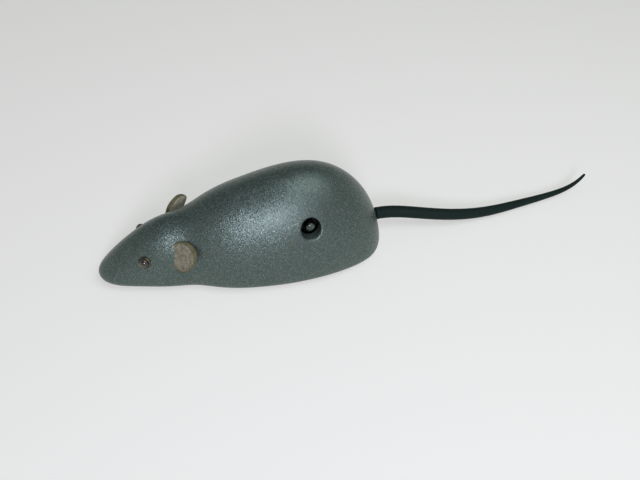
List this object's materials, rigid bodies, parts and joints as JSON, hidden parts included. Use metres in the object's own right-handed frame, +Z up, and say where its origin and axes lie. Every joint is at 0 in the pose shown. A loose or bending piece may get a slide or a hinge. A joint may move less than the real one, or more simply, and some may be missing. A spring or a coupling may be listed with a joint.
{
  "type": "clockwork toy mouse",
  "caption": "Wind-up toy mouse with a pressed metal body, leather ears, bead eyes, a rubber tail and a spring motor that drives two hidden wheels.",
  "frame": {"origin": "on the floor, under the middle of the whole length and on the body's middle plane", "axes": "+X from the nose to the tail, +Z up, -Y the mouse's left side with the winding hole"},
  "size_m": [0.1446, 0.0306, 0.0272],
  "materials": {
    "body_paint": "fine metallic-flake grey enamel, glossy",
    "tinplate": "plain",
    "spring_steel": "blued",
    "polished_steel": "polished",
    "gear_brass": "satin",
    "wheel_rubber": "matte",
    "ear_leather": "matte, taupe",
    "eye_glass": "dark, glossy",
    "eye_brass": "bright",
    "tail_rubber": "matte"
  },
  "bodies": {
    "chassis": {"body_shell": "body_paint", "base_plate": "tinplate", "left_side_plate": "tinplate", "right_side_plate": "tinplate", "front_tie_bar": "tinplate", "rear_tie_bar": "tinplate", "mainspring": "spring_steel", "roller_bracket": "tinplate", "front_axle": "polished_steel", "left_ear": "ear_leather", "right_ear": "ear_leather", "left_eye_bead": "eye_glass", "right_eye_bead": "eye_glass", "left_eye_cup": "eye_brass", "right_eye_cup": "eye_brass", "tail": "tail_rubber"},
    "great_wheel": {"great_wheel": "gear_brass", "pawl_spring": "spring_steel"},
    "winding_arbor": {"winding_arbor": "polished_steel", "ratchet_wheel": "spring_steel"},
    "pawl": {"pawl": "spring_steel"},
    "second_arbor": {"second_arbor": "polished_steel", "second_pinion": "gear_brass", "second_wheel": "gear_brass"},
    "drive_axle": {"drive_axle": "polished_steel", "drive_pinion": "gear_brass", "left_wheel": "wheel_rubber", "right_wheel": "wheel_rubber"},
    "front_roller": {"front_roller": "wheel_rubber"}
  },
  "joints": [
    {"name": "drive_spin", "type": "hinge", "parent": "chassis", "child": "drive_axle", "pos_m": [-0.01622, 0, 0.0055], "axis": [0, 1, 0], "continuous": true},
    {"name": "second_spin", "type": "hinge", "parent": "chassis", "child": "second_arbor", "pos_m": [-0.01372, 0, 0.01182], "axis": [0, 1, 0], "continuous": true},
    {"name": "great_spin", "type": "hinge", "parent": "chassis", "child": "great_wheel", "pos_m": [-0.01982, 0, 0.017], "axis": [0, 1, 0], "continuous": true},
    {"name": "winding_turn", "type": "hinge", "parent": "great_wheel", "child": "winding_arbor", "pos_m": [-0.01982, 0, 0.017], "axis": [0, 1, 0], "continuous": true},
    {"name": "pawl_lift", "type": "hinge", "parent": "great_wheel", "child": "pawl", "pos_m": [-0.02302, 0, 0.02035], "axis": [0, -1, 0], "range_deg": [0, 13], "stiffness_Nm_per_rad": 0.0001, "springref_deg": -11.46},
    {"name": "roller_spin", "type": "hinge", "parent": "chassis", "child": "front_roller", "pos_m": [-0.05697, 0, 0.0036], "axis": [0, 1, 0], "continuous": true}
  ],
  "couplings": [
    {"joint": "second_spin", "follows": "drive_spin", "ratio": -0.41667},
    {"joint": "great_spin", "follows": "drive_spin", "ratio": 0.13889}
  ]
}
